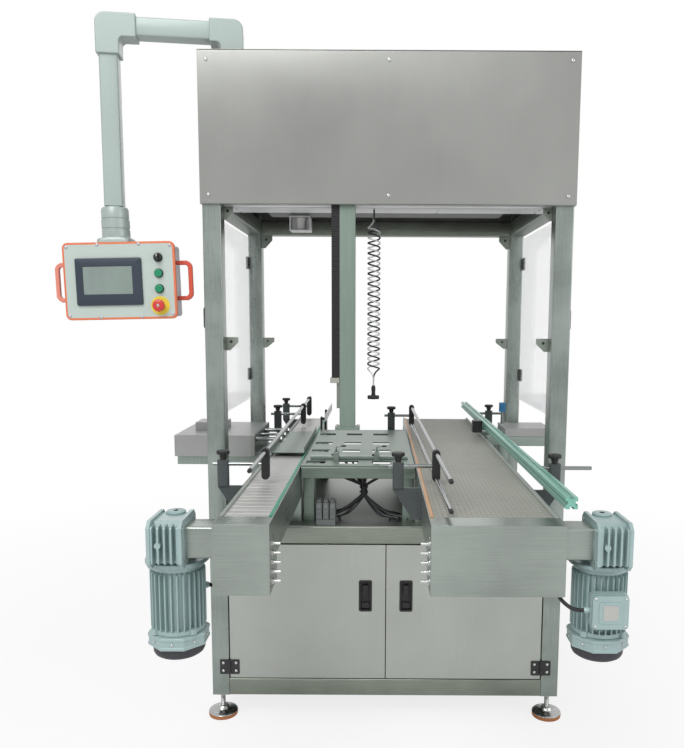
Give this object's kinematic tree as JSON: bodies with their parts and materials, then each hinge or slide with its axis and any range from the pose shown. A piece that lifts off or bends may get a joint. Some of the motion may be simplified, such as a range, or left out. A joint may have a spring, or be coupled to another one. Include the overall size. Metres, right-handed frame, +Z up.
{
  "type": "bottle packing machine",
  "caption": "Floor-standing machine that moves bottles from a narrow slat conveyor over a slotted platform to a wide belt, with a hooded gantry lift and a hung control panel.",
  "frame": {"origin": "on the floor, below the middle of the machine's bounding box without its two coiled cords", "axes": "+Z up, the machine's height; +X to the right for someone facing the doors, along the gantry beam; +Y from the front to the back, along the conveyors"},
  "size_m": [1.7854, 2.1531, 2.328],
  "materials": {
    "stainless": "brushed",
    "panel_steel": "brushed",
    "bright_steel": "polished",
    "green_alloy": "anodised",
    "grey_alloy": "satin",
    "drive_alloy": "satin",
    "dark_metal": "matte",
    "black_plastic": "matte",
    "pad_rubber": "matte",
    "chain": "matte",
    "belt": "matte",
    "strip": "matte",
    "clear": "clear",
    "white_plastic": "satin",
    "arm_paint": "satin",
    "case_paint": "satin",
    "orange_plastic": "satin",
    "red_plastic": "gloss",
    "green_plastic": "gloss",
    "screen": "gloss",
    "blue_plastic": "satin",
    "clear_hose": "gloss",
    "cable_black": "matte",
    "yellow_plastic": "satin"
  },
  "bodies": {
    "frame": {"frame_posts": "stainless", "cabinet_rails": "stainless", "hood_rails": "stainless", "cabinet_panels": "panel_steel", "foot_pads": "pad_rubber", "levelling_feet": "bright_steel", "hinges_and_gussets": "dark_metal", "hood_covers": "panel_steel", "fasteners": "bright_steel", "gantry_beam": "grey_alloy", "ceiling_lamp": "grey_alloy", "left_conveyor_frame": "panel_steel", "right_conveyor_frame": "panel_steel", "left_belt": "chain", "right_belt": "belt", "support_legs": "stainless", "wear_strips": "strip", "gearboxes": "drive_alloy", "valve_block": "dark_metal", "left_motor": "drive_alloy", "right_motor": "drive_alloy", "fan_covers": "drive_alloy", "platform_frame": "stainless", "platform_plate": "panel_steel", "platform_clamps": "bright_steel", "pusher_covers": "panel_steel", "pusher_cylinder": "grey_alloy", "guide_brackets": "dark_metal", "bracket_knobs": "black_plastic", "lane_guide": "white_plastic", "side_sensor": "blue_plastic", "cables": "cable_black", "coil_cable": "cable_black", "coil_hose": "clear_hose"},
    "carriage": {"gantry_carriage": "grey_alloy"},
    "lift": {"lift_column": "green_alloy", "lift_belt": "black_plastic"},
    "arm": {"arm_tubes": "arm_paint", "arm_elbows": "arm_paint"},
    "panel": {"panel_case": "case_paint", "panel_rim": "orange_plastic", "panel_handles": "orange_plastic", "touch_screen": "screen", "button_collars": "black_plastic"},
    "selector": {"selector_knob": "black_plastic"},
    "upper_push": {"upper_button": "green_plastic"},
    "lower_push": {"lower_button": "green_plastic"},
    "stop_push": {"stop_button": "red_plastic"},
    "left_door": {"left_cabinet_door": "panel_steel"},
    "right_door": {"right_cabinet_door": "panel_steel"},
    "left_guard": {"left_guard_door": "clear"},
    "right_guard": {"right_guard_door": "clear"},
    "pusher": {"pusher_slide": "panel_steel"},
    "left_rail": {"left_guide": "bright_steel"},
    "centre_rail": {"centre_guide": "bright_steel"},
    "right_rail": {"right_guide": "green_alloy"},
    "left_drive": {"left_drive_shaft": "bright_steel"},
    "right_drive": {"right_drive_shaft": "bright_steel"},
    "left_idler": {"left_idler_shaft": "bright_steel"},
    "right_idler": {"right_idler_shaft": "bright_steel"}
  },
  "joints": [
    {"name": "left_cabinet_hinge", "type": "hinge", "parent": "frame", "child": "left_door", "pos_m": [-0.34578, -0.3643, 0.386], "axis": [0, 0, -1], "range_deg": [0, 82]},
    {"name": "right_cabinet_hinge", "type": "hinge", "parent": "frame", "child": "right_door", "pos_m": [0.73122, -0.3643, 0.386], "axis": [0, 0, 1], "range_deg": [0, 82]},
    {"name": "left_guard_hinge", "type": "hinge", "parent": "frame", "child": "left_guard", "pos_m": [-0.41208, 0.479, 1.388], "axis": [0, 0, -1], "range_deg": [0, 100]},
    {"name": "right_guard_hinge", "type": "hinge", "parent": "frame", "child": "right_guard", "pos_m": [0.79752, 0.479, 1.388], "axis": [0, 0, 1], "range_deg": [0, 100]},
    {"name": "carriage_travel", "type": "slide", "parent": "frame", "child": "carriage", "axis": [1, 0, 0], "range_m": [-0.06, 0.4]},
    {"name": "lift_travel", "type": "slide", "parent": "carriage", "child": "lift", "axis": [0, 0, 1], "range_m": [-0.025, 0.26]},
    {"name": "arm_turn", "type": "hinge", "parent": "frame", "child": "arm", "pos_m": [-0.31228, -0.2975, 2.222], "axis": [0, 0, 1], "range_deg": [0, 110]},
    {"name": "panel_swivel", "type": "hinge", "parent": "arm", "child": "panel", "pos_m": [-0.69066, -0.35, 1.742], "axis": [0, 0, 1], "range_deg": [-60, 30]},
    {"name": "selector_turn", "type": "hinge", "parent": "panel", "child": "selector", "pos_m": [-0.54245, -0.399, 1.57828], "axis": [0, 1, 0], "range_deg": [-45, 45]},
    {"name": "upper_button_press", "type": "slide", "parent": "panel", "child": "upper_push", "axis": [0, 1, 0], "range_m": [0, 0.004], "stiffness_N_per_m": 300},
    {"name": "lower_button_press", "type": "slide", "parent": "panel", "child": "lower_push", "axis": [0, 1, 0], "range_m": [0, 0.004], "stiffness_N_per_m": 300},
    {"name": "stop_button_press", "type": "slide", "parent": "panel", "child": "stop_push", "axis": [0, 1, 0], "range_m": [0, 0.005], "stiffness_N_per_m": 500},
    {"name": "pusher_stroke", "type": "slide", "parent": "frame", "child": "pusher", "axis": [1, 0, 0], "range_m": [-0.094, 0.17]},
    {"name": "left_guide_set", "type": "slide", "parent": "frame", "child": "left_rail", "axis": [1, 0, 0], "range_m": [-0.035, 0.035]},
    {"name": "centre_guide_set", "type": "slide", "parent": "frame", "child": "centre_rail", "axis": [1, 0, 0], "range_m": [-0.035, 0.035]},
    {"name": "right_guide_set", "type": "slide", "parent": "frame", "child": "right_rail", "axis": [1, 0, 0], "range_m": [-0.06, 0.02]},
    {"name": "left_drive_spin", "type": "hinge", "parent": "frame", "child": "left_drive", "pos_m": [-0.35028, -1.0045, 0.838], "axis": [1, 0, 0], "continuous": true},
    {"name": "right_drive_spin", "type": "hinge", "parent": "frame", "child": "right_drive", "pos_m": [0.73572, -1.0045, 0.838], "axis": [1, 0, 0], "continuous": true},
    {"name": "left_idler_spin", "type": "hinge", "parent": "frame", "child": "left_idler", "pos_m": [-0.16828, 0.9385, 0.838], "axis": [1, 0, 0], "continuous": true},
    {"name": "right_idler_spin", "type": "hinge", "parent": "frame", "child": "right_idler", "pos_m": [0.45772, 0.9385, 0.838], "axis": [1, 0, 0], "continuous": true}
  ],
  "couplings": [
    {"joint": "left_idler_spin", "follows": "left_drive_spin", "ratio": 1},
    {"joint": "right_idler_spin", "follows": "right_drive_spin", "ratio": 1}
  ]
}
